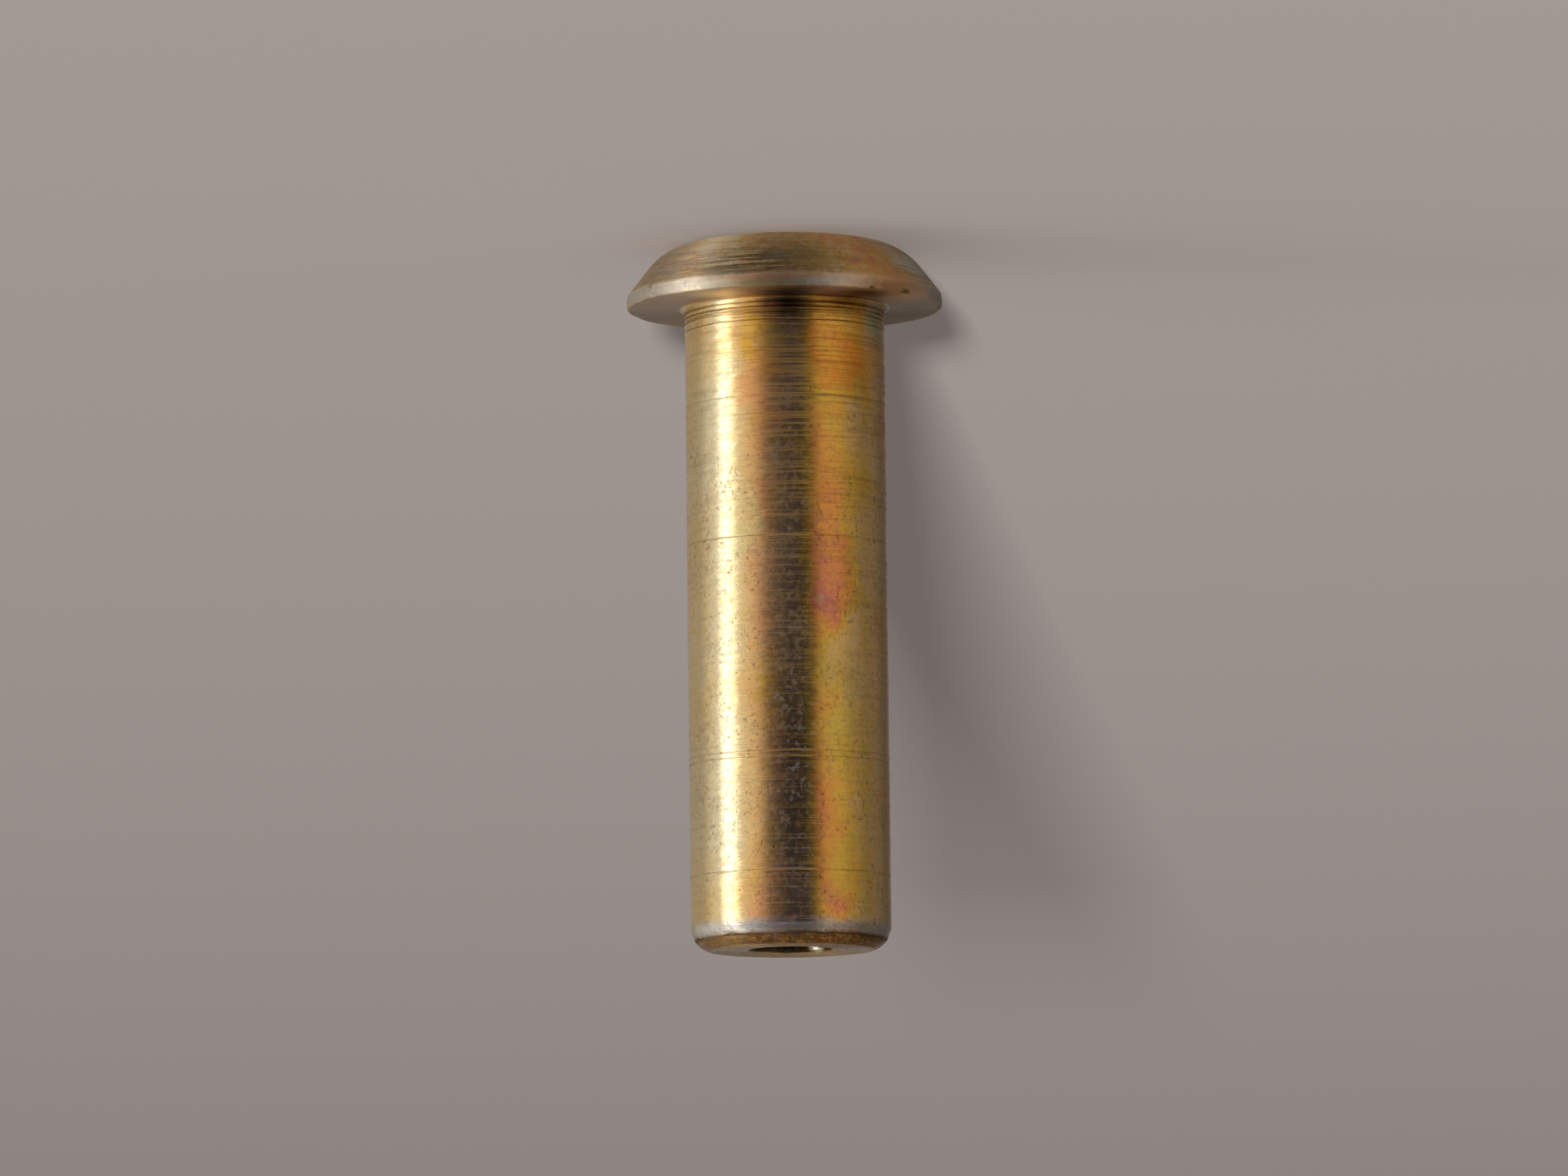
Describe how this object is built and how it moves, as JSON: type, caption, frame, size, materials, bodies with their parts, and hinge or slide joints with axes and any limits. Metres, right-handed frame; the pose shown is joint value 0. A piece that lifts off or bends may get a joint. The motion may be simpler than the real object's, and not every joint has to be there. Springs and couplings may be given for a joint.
{
  "type": "semi-tubular rivet",
  "caption": "One-piece turned steel rivet with a flat-topped head, sloping flank, plain round shank and a small blind hole drilled in its eased end, yellow zinc plated.",
  "frame": {"origin": "centre of the head's flat top, on which the rivet stands", "axes": "+Z along the rivet's axis, from the head to the drilled end of the shank; X and Y are any two radii"},
  "size_m": [0.0078, 0.0078, 0.0177],
  "materials": {
    "zinc_plated_steel": "turned steel, zinc plated with a yellow chromate that shows straw, olive, orange and pink tints"
  },
  "bodies": {
    "root": {"rivet": "zinc_plated_steel"}
  },
  "joints": []
}
